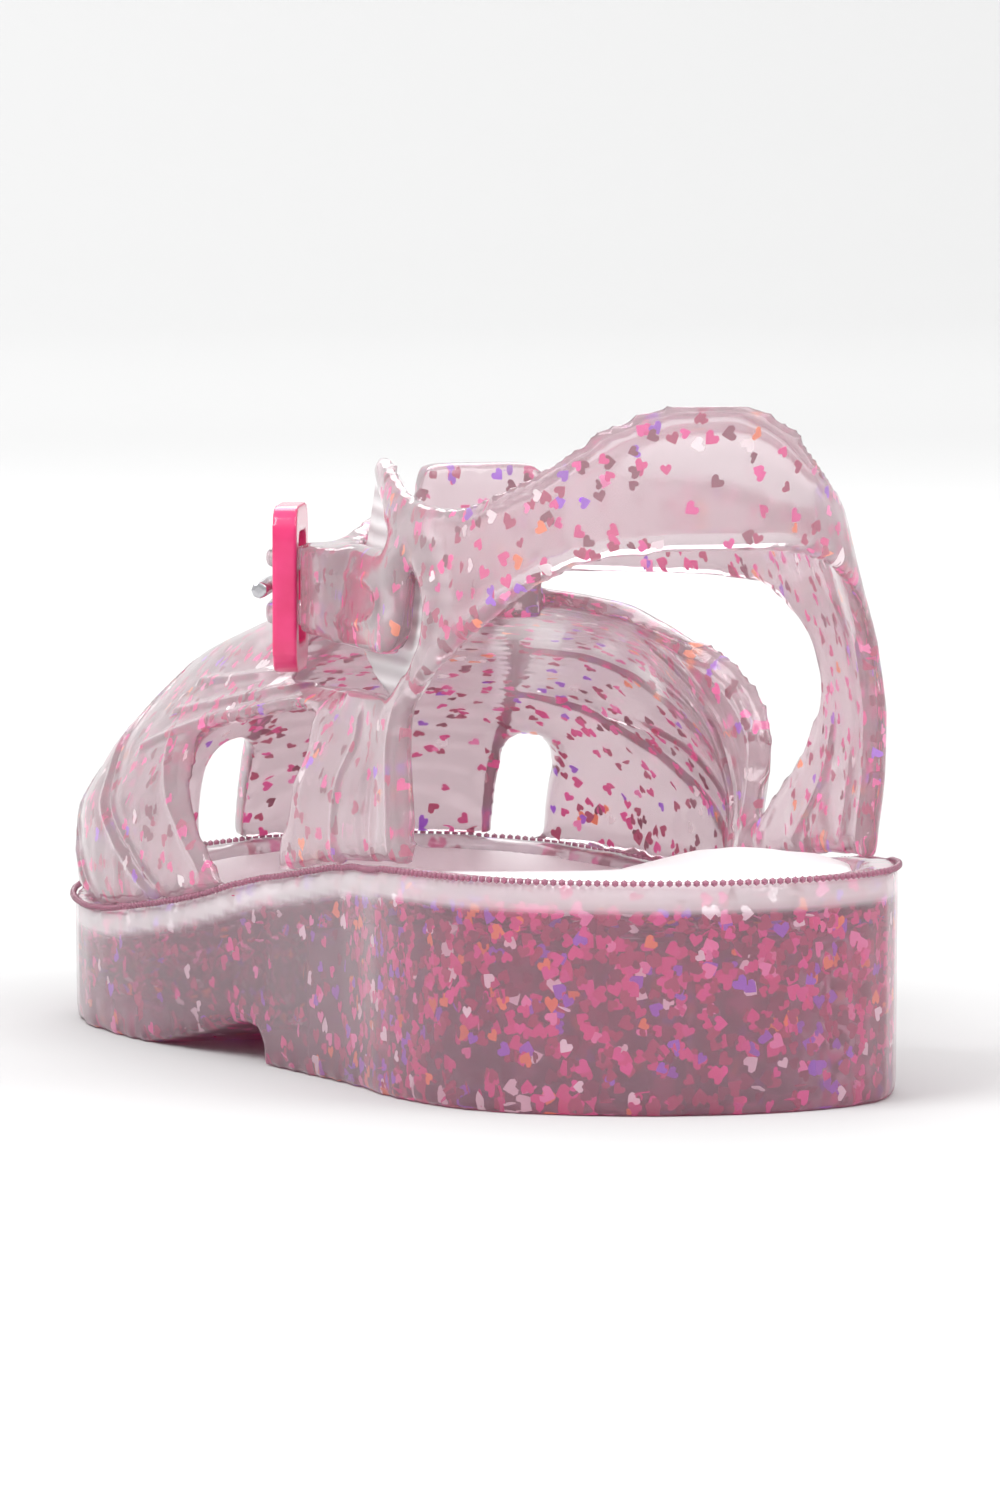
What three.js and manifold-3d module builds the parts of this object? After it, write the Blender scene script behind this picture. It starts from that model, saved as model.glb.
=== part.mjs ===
// Jelly sandal for a toddler's left foot: a clear moulded upper on a translucent studded outsole, with a
// white insole, a ribbed closure pad and a pink buckle on the ankle strap. Millimetres, +Y to the toe,
// +X to the inner side of the foot, +Z up.
import * as THREE from 'three';
import * as BufferGeometryUtils from 'three/addons/utils/BufferGeometryUtils.js';
import Module from 'manifold-3d';

const wasm = await Module();
wasm.setup();

// Driving sizes of the outsole
const soleLength = 156;
const soleWidth = 69;
const heelRim = 22;
const archLift = 3.8;
const toeSpring = 3;
const soleFlare = 0.8;
const rimWall = 2.8;
const rimBorder = 5;
const forefootRecess = 4;
const roofWall = 2.4;
const studBase = 7;
const studTip = 2.6;
const studWaist = 5.9;
const pegWidth = 5.4;
const pegTip = 4.3;
const pegPitch = 8.4;
const groundGap = 0.3;
const seam = 0.5;

// Driving sizes of the insole
const insoleThickness = 2.8;
const archHump = 2.7;
const humpPlace = 0.35;
const humpSpread = 0.15;
const edgeRoll = 0.5;
const bedSink = 0.9;
const fitGap = 0.3;

// Driving sizes of the upper, the closure pad and the buckle
const bandHeight = 67.3;
const wall = 1.9;
const grooveDepth = 0.9;
const grooveWidth = 1.5;
const spineProud = 1.1;
const spineWidth = 27;
const toeGapWidth = 5;
const toeGapHeight = 11;
const gapCorner = 3;
const barWidth = 12.6;
const barCentre = -4;
const barCorner = 2;
const barRoot = 0.93;
const heelPower = 2.8;
const shinPower = 3;
const strapWidth = 9.8;
const strapProud = 0.5;
const loopProud = 1.7;
const padThickness = 1.2;
const buckleHeight = 16.4;
const buckleLength = 13;
const buckleThickness = 2.4;
const buckleBar = 2.7;
const buckleTurn = 17;
const buckleLift = 3.2;
const loopThickness = 1.5;
const loopHeight = 8.4;
const swellHeight = 8.8;
const swellRamp = 8;
const prongSlot = 2.6;
const prongWidth = 1.7;
const prongGap = 0.42;
const frameCorner = 3;
const holeCorner = 1.2;

// Sizes of the last that follow the sole and the heel band, so that the upper stays on its sole
const instepHeight = 0.677 * bandHeight;
const ankleLength = 0.505 * soleLength;
const ankleCentre = 0.257 * soleLength;
const buckleAlong = 0.423 * soleLength;
const domeStart = 0.515 * soleLength;

// Plan of the outsole: how far along the sole, and the outer and inner half widths as shares of its width
const PLAN = [
  { along: 0, outer: 0, inner: 0 },
  { along: 0.013, outer: 0.138, inner: 0.138 },
  { along: 0.038, outer: 0.232, inner: 0.232 },
  { along: 0.077, outer: 0.304, inner: 0.304 },
  { along: 0.16, outer: 0.359, inner: 0.355 },
  { along: 0.231, outer: 0.371, inner: 0.351 },
  { along: 0.308, outer: 0.4, inner: 0.328 },
  { along: 0.385, outer: 0.432, inner: 0.313 },
  { along: 0.462, outer: 0.475, inner: 0.317 },
  { along: 0.538, outer: 0.516, inner: 0.351 },
  { along: 0.615, outer: 0.545, inner: 0.409 },
  { along: 0.686, outer: 0.554, inner: 0.449 },
  { along: 0.744, outer: 0.541, inner: 0.457 },
  { along: 0.801, outer: 0.51, inner: 0.443 },
  { along: 0.859, outer: 0.455, inner: 0.412 },
  { along: 0.917, outer: 0.371, inner: 0.354 },
  { along: 0.962, outer: 0.261, inner: 0.261 },
  { along: 0.987, outer: 0.152, inner: 0.152 },
  { along: 1, outer: 0, inner: 0 },
];

// Top edge of the rim, its height as a share of the heel rim
const RIM = [
  { along: 0, height: 1 },
  { along: 0.14, height: 1 },
  { along: 0.263, height: 0.955 },
  { along: 0.333, height: 0.886 },
  { along: 0.404, height: 0.818 },
  { along: 0.462, height: 0.727 },
  { along: 0.519, height: 0.659 },
  { along: 0.571, height: 0.614 },
  { along: 0.628, height: 0.57 },
  { along: 0.68, height: 0.568 },
  { along: 0.8, height: 0.585 },
  { along: 0.9, height: 0.63 },
  { along: 1, height: 0.705 },
];

// Underside from the heel breast to the ball, its lift as a share of the arch lift
const ARCH = [
  { along: 0.381, lift: 0 },
  { along: 0.385, lift: 0.58 },
  { along: 0.397, lift: 0.9 },
  { along: 0.417, lift: 1 },
  { along: 0.442, lift: 0.82 },
  { along: 0.474, lift: 0.52 },
  { along: 0.513, lift: 0.24 },
  { along: 0.551, lift: 0 },
];

// Underside from the ball to the toe, its lift as a share of the toe spring
const SPRING = [
  { along: 0.846, lift: 0 },
  { along: 0.91, lift: 0.22 },
  { along: 0.962, lift: 0.6 },
  { along: 1, lift: 1 },
];

// Crest of the vamp, its height as a share of the instep height
const CREST = [
  { along: 0.22, height: 1 },
  { along: 0.449, height: 1 },
  { along: 0.545, height: 0.992 },
  { along: 0.628, height: 0.966 },
  { along: 0.718, height: 0.905 },
  { along: 0.801, height: 0.82 },
  { along: 0.872, height: 0.733 },
  { along: 0.917, height: 0.66 },
  { along: 0.949, height: 0.59 },
  { along: 0.971, height: 0.51 },
  { along: 0.987, height: 0.425 },
  { along: 1, height: 0.33 },
];

// Cross section of the vamp: rise from the rim to the crest, and half width as a share of that at the rim,
// over the forefoot and at the inner side of the waist
const DOME = [
  { rise: 0, forefoot: 1, waist: 0.95 },
  { rise: 0.13, forefoot: 1.01, waist: 1 },
  { rise: 0.33, forefoot: 1, waist: 1.03 },
  { rise: 0.56, forefoot: 0.9, waist: 0.97 },
  { rise: 0.71, forefoot: 0.79, waist: 0.87 },
  { rise: 0.85, forefoot: 0.68, waist: 0.73 },
  { rise: 0.94, forefoot: 0.52, waist: 0.53 },
  { rise: 0.985, forefoot: 0.25, waist: 0.25 },
];

// Ankle of the last: height as a share of the heel band, then the reach to each side and the place of the
// middle of the heel, as shares of the sole width
const ANKLE = [
  { height: 0.1, outer: 0.367, inner: 0.335, middle: 0 },
  { height: 0.327, outer: 0.363, inner: 0.338, middle: 0 },
  { height: 0.431, outer: 0.358, inner: 0.352, middle: 0.002 },
  { height: 0.52, outer: 0.352, inner: 0.357, middle: 0.004 },
  { height: 0.624, outer: 0.344, inner: 0.344, middle: 0.008 },
  { height: 0.743, outer: 0.332, inner: 0.307, middle: 0.012 },
  { height: 0.862, outer: 0.314, inner: 0.277, middle: 0.016 },
  { height: 1.03, outer: 0.294, inner: 0.256, middle: 0.02 },
];

// Edges of the upper seen from the side, as shares of the sole length and the height of the heel band
const OUTER_LEG_BACK = [
  { along: 0.146, height: 0.2 },
  { along: 0.147, height: 0.32 },
  { along: 0.158, height: 0.43 },
  { along: 0.167, height: 0.515 },
  { along: 0.157, height: 0.563 },
  { along: 0.137, height: 0.596 },
  { along: 0.111, height: 0.631 },
  { along: 0.079, height: 0.679 },
  { along: 0.054, height: 0.722 },
  { along: 0.034, height: 0.757 },
  { along: 0.012, height: 0.785 },
  { along: -0.03, height: 0.79 },
];
const INNER_LEG_BACK = [
  { along: 0.128, height: 0.2 },
  { along: 0.13, height: 0.35 },
  { along: 0.134, height: 0.45 },
  { along: 0.134, height: 0.55 },
  { along: 0.129, height: 0.62 },
  { along: 0.116, height: 0.672 },
  { along: 0.094, height: 0.713 },
  { along: 0.066, height: 0.745 },
  { along: 0.038, height: 0.771 },
  { along: 0.012, height: 0.786 },
  { along: -0.03, height: 0.79 },
];
const BAND_TOP = [
  { along: -0.03, height: 1.001 },
  { along: 0.004, height: 1 },
  { along: 0.014, height: 0.972 },
  { along: 0.028, height: 0.933 },
  { along: 0.051, height: 0.888 },
  { along: 0.09, height: 0.852 },
  { along: 0.13, height: 0.837 },
  { along: 0.167, height: 0.838 },
];
const WING_TOP = [
  { along: 0.167, height: 0.838 },
  { along: 0.218, height: 0.848 },
  { along: 0.269, height: 0.876 },
  { along: 0.297, height: 0.893 },
  { along: 0.312, height: 0.892 },
  { along: 0.312, height: 0.872 },
];
const NOTCH = [
  { along: 0.312, height: 0.872 },
  { along: 0.284, height: 0.828 },
  { along: 0.236, height: 0.779 },
  { along: 0.182, height: 0.747 },
  { along: 0.154, height: 0.715 },
  { along: 0.148, height: 0.675 },
  { along: 0.156, height: 0.63 },
  { along: 0.178, height: 0.592 },
  { along: 0.21, height: 0.56 },
];
const OUTER_COLLAR = [
  { along: 0.21, height: 0.56 },
  { along: 0.256, height: 0.563 },
  { along: 0.311, height: 0.558 },
  { along: 0.372, height: 0.553 },
  { along: 0.423, height: 0.55 },
  { along: 0.464, height: 0.553 },
  { along: 0.494, height: 0.582 },
  { along: 0.53, height: 0.64 },
];
const INNER_BAY = [
  { along: 0.53, height: 0.737 },
  { along: 0.43, height: 0.724 },
  { along: 0.378, height: 0.697 },
  { along: 0.342, height: 0.668 },
  { along: 0.309, height: 0.63 },
  { along: 0.294, height: 0.59 },
  { along: 0.298, height: 0.541 },
  { along: 0.312, height: 0.5 },
  { along: 0.335, height: 0.457 },
  { along: 0.37, height: 0.4 },
  { along: 0.398, height: 0.345 },
  { along: 0.408, height: 0.336 },
  { along: 0.406, height: 0.375 },
  { along: 0.4, height: 0.415 },
  { along: 0.402, height: 0.462 },
  { along: 0.414, height: 0.509 },
  { along: 0.432, height: 0.549 },
  { along: 0.457, height: 0.588 },
  { along: 0.495, height: 0.627 },
  { along: 0.53, height: 0.66 },
];
const OUTER_WINDOW = [
  { along: 0.374, height: 0.2 },
  { along: 0.368, height: 0.3 },
  { along: 0.353, height: 0.36 },
  { along: 0.344, height: 0.43 },
  { along: 0.353, height: 0.485 },
  { along: 0.372, height: 0.515 },
  { along: 0.414, height: 0.51 },
  { along: 0.457, height: 0.494 },
  { along: 0.507, height: 0.474 },
  { along: 0.538, height: 0.452 },
  { along: 0.533, height: 0.415 },
  { along: 0.505, height: 0.362 },
  { along: 0.481, height: 0.31 },
  { along: 0.46, height: 0.27 },
  { along: 0.43, height: 0.2 },
];
const INNER_WINDOW = [
  { along: 0.468, height: 0.2 },
  { along: 0.462, height: 0.34 },
  { along: 0.478, height: 0.43 },
  { along: 0.515, height: 0.48 },
  { along: 0.545, height: 0.47 },
  { along: 0.536, height: 0.39 },
  { along: 0.512, height: 0.3 },
  { along: 0.49, height: 0.2 },
];

// Middle line of the ankle strap, from its outer end round the front and into the inner quarter
const STRAP_OUTER = [
  { along: 0.214, height: 0.692 },
  { along: 0.4, height: 0.688 },
  { along: 0.43, height: 0.691 },
  { along: 0.458, height: 0.702 },
  { along: 0.484, height: 0.722 },
  { along: 0.512, height: 0.746 },
  { along: 0.55, height: 0.766 },
];
const STRAP_INNER = [
  { along: 0.2, height: 0.76 },
  { along: 0.3, height: 0.765 },
  { along: 0.38, height: 0.768 },
  { along: 0.46, height: 0.77 },
  { along: 0.55, height: 0.77 },
];

// Grooves between the strips of the vamp, seen from the side
const GROOVES = [
  [
    { along: 0.53, height: 0.2 },
    { along: 0.596, height: 0.282 },
    { along: 0.632, height: 0.327 },
    { along: 0.68, height: 0.409 },
    { along: 0.73, height: 0.51 },
    { along: 0.79, height: 0.66 },
  ],
  [
    { along: 0.655, height: 0.16 },
    { along: 0.715, height: 0.25 },
    { along: 0.77, height: 0.34 },
    { along: 0.825, height: 0.43 },
    { along: 0.88, height: 0.53 },
    { along: 0.92, height: 0.62 },
  ],
];

// Raised spine over the vamp: how far its edges reach to each side, as shares of the sole width
const SPINE = [
  { along: 0.5, outer: 0.149, inner: 0.033 },
  { along: 0.62, outer: 0.149, inner: 0.033 },
  { along: 0.78, outer: 0.166, inner: 0.141 },
  { along: 0.92, outer: 0.196, inner: 0.196 },
];

// Outline of the closure pad seen from the side
const PAD = [
  { along: 0.141, height: 0.745 },
  { along: 0.135, height: 0.7 },
  { along: 0.149, height: 0.64 },
  { along: 0.172, height: 0.59 },
  { along: 0.205, height: 0.552 },
  { along: 0.255, height: 0.56 },
  { along: 0.303, height: 0.585 },
  { along: 0.336, height: 0.606 },
  { along: 0.38, height: 0.64 },
  { along: 0.42, height: 0.7 },
  { along: 0.432, height: 0.785 },
  { along: 0.425, height: 0.83 },
  { along: 0.404, height: 0.862 },
  { along: 0.38, height: 0.872 },
  { along: 0.333, height: 0.868 },
  { along: 0.28, height: 0.845 },
  { along: 0.21, height: 0.812 },
  { along: 0.165, height: 0.787 },
];

// Rows of studs under the forefoot: place of the outermost stud, their number, pitch and forward slant
const STUDS = [
  { along: 0.572, outer: 0.39, count: 5, pitch: 0.168, slant: 0.0125 },
  { along: 0.64, outer: 0.406, count: 5, pitch: 0.174, slant: 0.012 },
  { along: 0.713, outer: 0.406, count: 5, pitch: 0.17, slant: 0.0128 },
  { along: 0.793, outer: 0.36, count: 4, pitch: 0.196, slant: 0.012 },
  { along: 0.882, outer: 0.235, count: 3, pitch: 0.172, slant: 0.0128 },
];

// Smooth reading of one column of a table at any place along it
function readTable(rows, key, column, at) {
  const last = rows.length - 1;
  let i = 0;
  while (i < last - 1 && rows[i + 1][key] < at) i += 1;
  const a = rows[i];
  const b = rows[i + 1];
  const before = rows[Math.max(i - 1, 0)];
  const after = rows[Math.min(i + 2, last)];
  const span = b[key] - a[key];
  const t = THREE.MathUtils.clamp((at - a[key]) / span, 0, 1);
  const slopeA = ((b[column] - before[column]) / (b[key] - before[key])) * span;
  const slopeB = ((after[column] - a[column]) / (after[key] - a[key])) * span;
  const t2 = t * t;
  const t3 = t2 * t;
  const start = (2 * t3 - 3 * t2 + 1) * a[column] + (t3 - 2 * t2 + t) * slopeA;
  return start + (3 * t2 - 2 * t3) * b[column] + (t3 - t2) * slopeB;
}

// Half widths are read through their squares, so that heel and toe come out round
const SQUARED_PLAN = PLAN.map((row) => ({ along: row.along, outer: row.outer ** 2, inner: row.inner ** 2 }));

function halfWidth(side, y) {
  const squared = readTable(SQUARED_PLAN, 'along', side, y / soleLength);
  return soleWidth * Math.sqrt(Math.max(squared, 0));
}

function rimTop(y) {
  return heelRim * readTable(RIM, 'along', 'height', THREE.MathUtils.clamp(y / soleLength, 0, 1));
}

function crestHeight(y) {
  return instepHeight * readTable(CREST, 'along', 'height', y / soleLength);
}

// Points of an edge in the side view, in millimetres, drawn as a smooth curve through its rows
function sideEdge(rows, steps) {
  const points = rows.map((row) => new THREE.Vector2(row.along * soleLength, row.height * bandHeight));
  return new THREE.SplineCurve(points).getPoints(steps);
}

// A closed body through rings of equal length, capped at both ends about their middles
function loft(rings) {
  const count = rings[0].length;
  const positions = [];
  rings.forEach((ring) => ring.forEach((point) => positions.push(point.x, point.y, point.z)));
  const index = [];
  for (let r = 0; r < rings.length - 1; r += 1) {
    for (let i = 0; i < count; i += 1) {
      const next = (i + 1) % count;
      const a = r * count + i;
      const b = r * count + next;
      index.push(a, b, b + count, a, b + count, a + count);
    }
  }
  [0, rings.length - 1].forEach((r) => {
    const middle = new THREE.Vector3();
    rings[r].forEach((point) => middle.addScaledVector(point, 1 / count));
    const centre = positions.length / 3;
    positions.push(middle.x, middle.y, middle.z);
    for (let i = 0; i < count; i += 1) {
      const a = r * count + i;
      const b = r * count + ((i + 1) % count);
      if (r === 0) index.push(centre, b, a);
      else index.push(centre, a, b);
    }
  });
  const geometry = new THREE.BufferGeometry();
  geometry.setAttribute('position', new THREE.Float32BufferAttribute(positions, 3));
  geometry.setIndex(index);
  return solid(geometry);
}

// A closed geometry as a solid that can be joined and cut, with its faces turned outwards
function solid(geometry) {
  const bare = geometry.clone();
  bare.deleteAttribute('normal');
  bare.deleteAttribute('uv');
  const merged = BufferGeometryUtils.mergeVertices(bare, 1e-4);
  const place = merged.getAttribute('position');
  const corner = [new THREE.Vector3(), new THREE.Vector3(), new THREE.Vector3()];
  const triangles = [];
  let volume = 0;
  for (let i = 0; i < merged.index.count; i += 3) {
    const ids = [0, 1, 2].map((k) => merged.index.getX(i + k));
    if (ids[0] !== ids[1] && ids[1] !== ids[2] && ids[2] !== ids[0]) {
      ids.forEach((id, k) => corner[k].fromBufferAttribute(place, id));
      volume += corner[0].dot(corner[1].clone().cross(corner[2]));
      triangles.push(...ids);
    }
  }
  if (volume < 0) triangles.reverse();
  return new wasm.Manifold(new wasm.Mesh({
    numProp: 3,
    vertProperties: new Float32Array(place.array),
    triVerts: new Uint32Array(triangles),
  }));
}

// Prisms of an outline drawn in the plan (x, y), the side view (y, z) or the rear view (x, z)
function extruded(points, depth) {
  return new THREE.ExtrudeGeometry(new THREE.Shape(points), { depth, bevelEnabled: false });
}

function planPrism(points, low, high) {
  return solid(extruded(points, high - low).translate(0, 0, low));
}

function sidePrism(points, left, right) {
  const turned = new THREE.Matrix4().makeBasis(
    new THREE.Vector3(0, 1, 0),
    new THREE.Vector3(0, 0, 1),
    new THREE.Vector3(1, 0, 0),
  );
  return solid(extruded(points, right - left).applyMatrix4(turned).translate(left, 0, 0));
}

function rearPrism(points, back, front) {
  const turned = new THREE.Matrix4().makeRotationX(Math.PI / 2);
  return solid(extruded(points, front - back).applyMatrix4(turned).translate(0, front, 0));
}

function union(solids) {
  return solids.reduce((joined, next) => joined.add(next));
}

function meshOf(name, body, colour, roughness, metalness) {
  const found = body.getMesh();
  const geometry = new THREE.BufferGeometry();
  geometry.setAttribute('position', new THREE.BufferAttribute(new Float32Array(found.vertProperties), 3));
  geometry.setIndex(new THREE.BufferAttribute(new Uint32Array(found.triVerts), 1));
  const material = new THREE.MeshStandardMaterial({ color: colour, roughness, metalness });
  const mesh = new THREE.Mesh(geometry, material);
  mesh.name = name;
  return mesh;
}

// Widest reach of a cutter across, below and above the shoe
const reach = soleWidth;
const above = bandHeight + heelRim;
const below = -heelRim;

// Share of the sole width below which an inset shrinks towards the closed ends of the outline
const closingHalf = 0.3;

// Half width of the sole outline moved in by an inset, which shrinks where the outline closes
function insetHalf(side, station, inset) {
  const half = halfWidth(side, station);
  return half - inset * Math.min(1, half / (closingHalf * soleWidth));
}

// Place along the sole of a station once both ends are moved in by an inset
function insetPlace(station, inset) {
  return inset + (station * (soleLength - 2 * inset)) / soleLength;
}

// Outline of the sole in plan, moved in by an inset
function planRing(inset, steps = 36) {
  const outerSide = [];
  const innerSide = [];
  for (let i = 0; i <= steps; i += 1) {
    const station = (soleLength * (1 - Math.cos((Math.PI * i) / steps))) / 2;
    const y = insetPlace(station, inset);
    outerSide.push(new THREE.Vector2(-insetHalf('outer', station, inset), y));
    if (i > 0 && i < steps) innerSide.unshift(new THREE.Vector2(insetHalf('inner', station, inset), y));
  }
  return outerSide.concat(innerSide);
}

// Part of the inset outline between two places, closed by straight lines across
function planStretch(inset, from, to, steps = 18) {
  const outerSide = [];
  const innerSide = [];
  for (let i = 0; i <= steps; i += 1) {
    const share = (1 - Math.cos((Math.PI * i) / steps)) / 2;
    const y = from + (to - from) * share;
    const station = ((y - inset) * soleLength) / (soleLength - 2 * inset);
    const outer = insetHalf('outer', station, inset);
    const inner = insetHalf('inner', station, inset);
    outerSide.push(new THREE.Vector2(-outer, y));
    if (inner > 0.01) innerSide.unshift(new THREE.Vector2(inner, y));
  }
  return outerSide.concat(innerSide);
}

// Outsole: a flared block under the rim line, with its pan, recess, heel hollow, studs and pegs
function soleBlock() {
  const low = planRing(0).map((point) => new THREE.Vector3(point.x, point.y, below));
  const grown = 1 + (2 * soleFlare) / soleWidth;
  const flared = planRing(0).map((point) => new THREE.Vector3(point.x * grown, point.y, heelRim * 2));
  const under = [];
  ARCH.forEach((row) => under.push(new THREE.Vector2(row.along * soleLength, row.lift * archLift)));
  SPRING.forEach((row) => under.push(new THREE.Vector2(row.along * soleLength, row.lift * toeSpring)));
  under.unshift(new THREE.Vector2(-reach, 0));
  under.push(new THREE.Vector2(soleLength + 1, toeSpring));
  const top = [];
  const steps = 26;
  for (let i = 0; i <= steps; i += 1) {
    const y = (soleLength * i) / steps;
    top.unshift(new THREE.Vector2(y, rimTop(y)));
  }
  top.unshift(new THREE.Vector2(soleLength + 1, rimTop(soleLength)));
  top.push(new THREE.Vector2(-reach, heelRim));
  return loft([low, flared]).intersect(sidePrism(under.concat(top), -reach, reach));
}

// The space above the floor of the pan, which the insole fills with a small gap all round
function panSpace() {
  const floor = [];
  const steps = 26;
  for (let i = 0; i <= steps; i += 1) {
    const y = (soleLength * i) / steps;
    floor.push(new THREE.Vector2(y, rimTop(y) - insoleThickness - fitGap));
  }
  floor.unshift(new THREE.Vector2(-reach, heelRim - insoleThickness - fitGap));
  floor.push(new THREE.Vector2(soleLength + reach, floor[floor.length - 1].y));
  floor.push(new THREE.Vector2(soleLength + reach, above), new THREE.Vector2(-reach, above));
  const aboveFloor = sidePrism(floor, -reach, reach);
  return planPrism(planRing(rimWall), below, above).intersect(aboveFloor);
}

function stud(x, y) {
  const base = forefootRecess + seam;
  const profile = [
    new THREE.Vector2(0, base),
    new THREE.Vector2(studBase / 2, base),
    new THREE.Vector2(studWaist / 2, (forefootRecess + groundGap) / 2),
    new THREE.Vector2(studTip / 2, groundGap),
    new THREE.Vector2(0, groundGap),
  ];
  return solid(new THREE.LatheGeometry(profile, 8).rotateX(Math.PI / 2).translate(x, y, 0));
}

function studs() {
  const all = [];
  STUDS.forEach((row) => {
    for (let i = 0; i < row.count; i += 1) {
      const x = (-row.outer + i * row.pitch) * soleWidth;
      const y = (row.along + i * row.slant) * soleLength;
      all.push(stud(x, y));
    }
  });
  return all;
}

// Roof of the heel hollow, which follows the floor of the pan
function roofAt(y) {
  return rimTop(y) - insoleThickness - fitGap - roofWall;
}

function pegs() {
  const all = [];
  const heelEnd = ARCH[0].along * soleLength - rimBorder;
  const rows = Math.floor((heelEnd - rimBorder) / pegPitch);
  for (let row = 0; row < rows; row += 1) {
    const y = heelEnd - pegPitch * (row + 0.5) - seam;
    const offset = row % 2 === 0 ? 0 : pegPitch / 2;
    for (let column = -3; column <= 3; column += 1) {
      const x = column * pegPitch + offset;
      const room = Math.min(halfWidth('outer', y), halfWidth('inner', y)) - rimBorder - pegWidth / 2 - seam;
      if (Math.abs(x) <= room) {
        const length = roofAt(y) + roofWall / 4 - groundGap;
        const peg = new THREE.CylinderGeometry(pegWidth / 2, pegTip / 2, length, 6);
        all.push(solid(peg.rotateX(Math.PI / 2).translate(x, y, groundGap + length / 2)));
      }
    }
  }
  return all;
}

function makeOutsole() {
  const heelEnd = ARCH[0].along * soleLength - rimBorder;
  const archEnd = ARCH[ARCH.length - 1].along * soleLength;
  const toeEnd = soleLength - rimBorder;
  const roof = [new THREE.Vector2(-reach, below), new THREE.Vector2(soleLength, below)];
  for (let i = 12; i >= 0; i -= 1) {
    const y = (heelEnd * i) / 12;
    roof.push(new THREE.Vector2(i === 12 ? soleLength : y, roofAt(y)));
  }
  roof.push(new THREE.Vector2(-reach, roofAt(0)));
  const hollow = planPrism(planStretch(rimBorder, rimBorder, heelEnd), below, above)
    .intersect(sidePrism(roof, -reach, reach));
  const recess = planPrism(planStretch(rimBorder, archEnd, toeEnd), below, forefootRecess);
  const cut = soleBlock().subtract(panSpace()).subtract(hollow).subtract(recess);
  return union([cut, ...studs(), ...pegs()]);
}

// Insole: a plate in the pan, its edge rolled up a little, with a hump under the inner arch
function makeInsole() {
  const rings = [];
  const steps = 20;
  const across = 8;
  for (let i = 0; i <= steps; i += 1) {
    const share = (1 - Math.cos((Math.PI * (i + 0.6)) / (steps + 1.2))) / 2;
    const station = share * soleLength;
    const y = insetPlace(station, rimWall + fitGap);
    const outer = insetHalf('outer', station, rimWall) - 2 * fitGap;
    const inner = insetHalf('inner', station, rimWall) - 2 * fitGap;
    const bottom = rimTop(y) - insoleThickness;
    const bump = archHump * Math.exp(-(((station / soleLength - humpPlace) / humpSpread) ** 2));
    const ring = [];
    for (let k = 0; k <= across; k += 1) {
      const x = -outer + ((outer + inner) * k) / across;
      const edge = Math.abs((2 * k) / across - 1);
      const side = THREE.MathUtils.smoothstep(x / Math.max(inner, 1), 0, 0.8);
      const lift = edgeRoll * edge ** 3 - bedSink + bump * (side - 0.4 * edge ** 8);
      ring.push(new THREE.Vector3(x, y, bottom + insoleThickness + lift));
    }
    for (let k = across; k >= 0; k -= 1) {
      const x = -outer + ((outer + inner) * k) / across;
      ring.push(new THREE.Vector3(x, y, bottom));
    }
    rings.push(ring);
  }
  return loft(rings);
}

// Middle of the ankle at a height, and its reach from there to the outer and the inner side
function ankleAt(z) {
  const read = (column) => readTable(ANKLE, 'height', column, z / bandHeight) * soleWidth;
  const middle = read('middle');
  return { middle, outer: read('outer') + middle, inner: read('inner') - middle };
}

// Ankle column of the last: a rounded upright form from the heel of the sole to above the heel band
function ankleSolid(offset) {
  const levels = 9;
  const around = 40;
  const low = heelRim / 2;
  const high = bandHeight * 1.02;
  const rings = [];
  for (let i = 0; i <= levels; i += 1) {
    const z = low + ((high - low) * i) / levels;
    const { middle, outer, inner } = ankleAt(z);
    const ring = [];
    for (let k = 0; k < around; k += 1) {
      const angle = (2 * Math.PI * (k + 0.5)) / around;
      const c = Math.cos(angle);
      const s = Math.sin(angle);
      const power = 2 / (c > 0 ? heelPower : shinPower);
      const half = (s < 0 ? outer : inner) + offset;
      const x = middle + half * Math.sign(s) * Math.abs(s) ** power;
      const y = ankleCentre - (ankleLength / 2 + offset) * Math.sign(c) * Math.abs(c) ** power;
      ring.push(new THREE.Vector3(x, y, z));
    }
    rings.push(ring);
  }
  return loft(rings);
}

const waistEnd = 0.45;
const ballStart = 0.65;

// Foot form of the vamp: sections along the sole from under the ankle to the toe
function vampSolid(offset) {
  const stations = 24;
  const rings = [];
  const start = CREST[0].along * soleLength;
  for (let i = 0; i <= stations; i += 1) {
    const share = Math.sin((Math.PI * (i + 0.001)) / (2 * stations));
    const station = start + (soleLength - start) * Math.min(share, 0.9995);
    const y = start + ((station - start) * (soleLength + offset - start)) / (soleLength - start);
    const base = rimTop(station);
    const rise = Math.max(crestHeight(station) + offset - base, 0.4);
    const left = Math.max(halfWidth('outer', station) + offset, 0.4);
    const right = Math.max(halfWidth('inner', station) + offset, 0.4);
    const forward = THREE.MathUtils.smoothstep(station / soleLength, waistEnd, ballStart);
    const innerShare = (row) => THREE.MathUtils.lerp(row.waist, row.forefoot, forward);
    const ring = [new THREE.Vector3(-left, y, 0)];
    DOME.forEach((row) => ring.push(new THREE.Vector3(-left * row.forefoot, y, base + rise * row.rise)));
    ring.push(new THREE.Vector3(0, y, base + rise));
    [...DOME].reverse().forEach((row) => {
      ring.push(new THREE.Vector3(right * innerShare(row), y, base + rise * row.rise));
    });
    ring.push(new THREE.Vector3(right * innerShare(DOME[0]), y, 0));
    rings.push(ring);
  }
  return loft(rings);
}

function lastSolid(offset) {
  return ankleSolid(offset).add(vampSolid(offset));
}

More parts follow.
